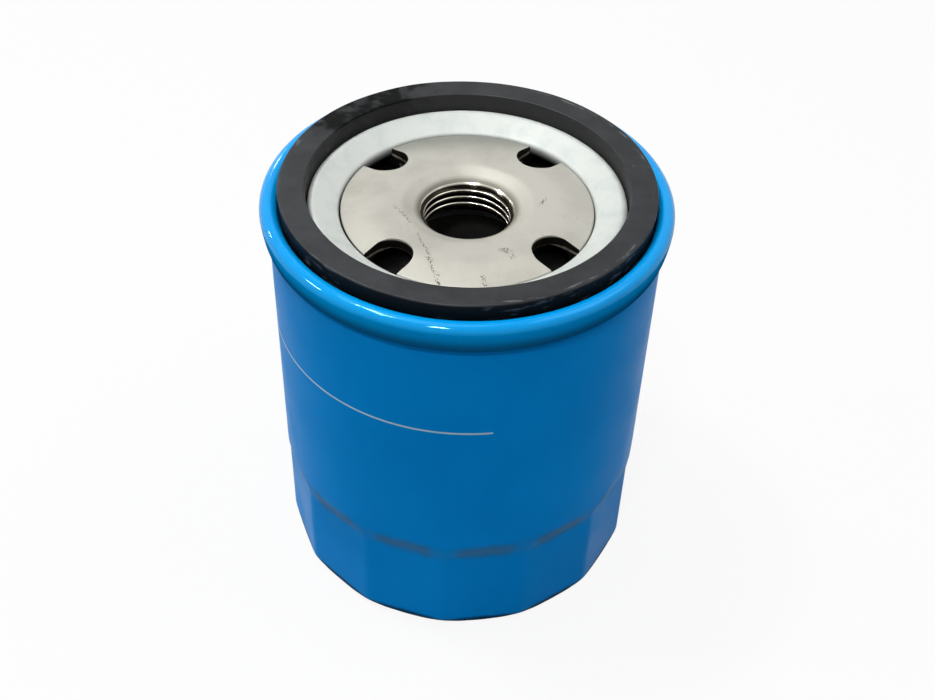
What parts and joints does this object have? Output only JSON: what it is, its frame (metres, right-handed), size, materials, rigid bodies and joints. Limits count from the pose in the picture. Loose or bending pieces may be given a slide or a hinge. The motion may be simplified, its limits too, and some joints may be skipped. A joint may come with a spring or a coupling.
{
  "type": "oil filter",
  "caption": "Spin-on engine oil filter: fluted steel can, double-seamed lid, threaded plate with inlet ports, rubber sealing ring and a sprung pleated element inside.",
  "frame": {"origin": "on the filter's axis, in the plane that its closed end stands on", "axes": "+Z is the axis, from the closed end to the threaded end; +X points to the clip on the paper's joint; the first inlet port lies 50 degrees from +X towards +Y"},
  "size_m": [0.0786, 0.0786, 0.088],
  "materials": {
    "can_paint": "gloss blue paint",
    "lid_zinc": "satin zinc plate",
    "seam_compound": "matte",
    "gasket_rubber": "matte moulded rubber",
    "plate_steel": "satin oiled steel",
    "valve_rubber": "matte",
    "cap_steel": "satin",
    "potting": "matte set adhesive",
    "filter_paper": "matte pleated paper",
    "clip_steel": "satin",
    "tube_steel": "satin",
    "valve_steel": "satin",
    "seal_rubber": "matte",
    "spring_steel": "satin wire"
  },
  "bodies": {
    "housing": {"can": "can_paint", "seam_lid": "lid_zinc", "seam_compound": "seam_compound", "sealing_gasket": "gasket_rubber", "tapping_plate": "plate_steel", "anti_drainback_valve": "valve_rubber", "support_spring": "spring_steel"},
    "element": {"top_end_cap": "cap_steel", "bottom_end_cap": "cap_steel", "top_potting": "potting", "bottom_potting": "potting", "pleated_media": "filter_paper", "media_seam_clip": "clip_steel", "centre_tube": "tube_steel", "bypass_seat": "valve_steel", "bypass_cage": "valve_steel", "bypass_spring": "spring_steel", "spring_retainer": "valve_steel"},
    "poppet": {"bypass_poppet": "valve_steel", "bypass_seal": "seal_rubber"}
  },
  "joints": [
    {"name": "element_float", "type": "slide", "parent": "housing", "child": "element", "axis": [0, 0, -1], "range_m": [0, 0.0015], "stiffness_N_per_m": 8000, "springref_m": -0.008, "deforming": ["support_spring"]},
    {"name": "bypass_lift", "type": "slide", "parent": "element", "child": "poppet", "axis": [0, 0, 1], "range_m": [0, 0.003], "stiffness_N_per_m": 2300, "springref_m": -0.0057, "deforming": ["bypass_spring"]}
  ]
}
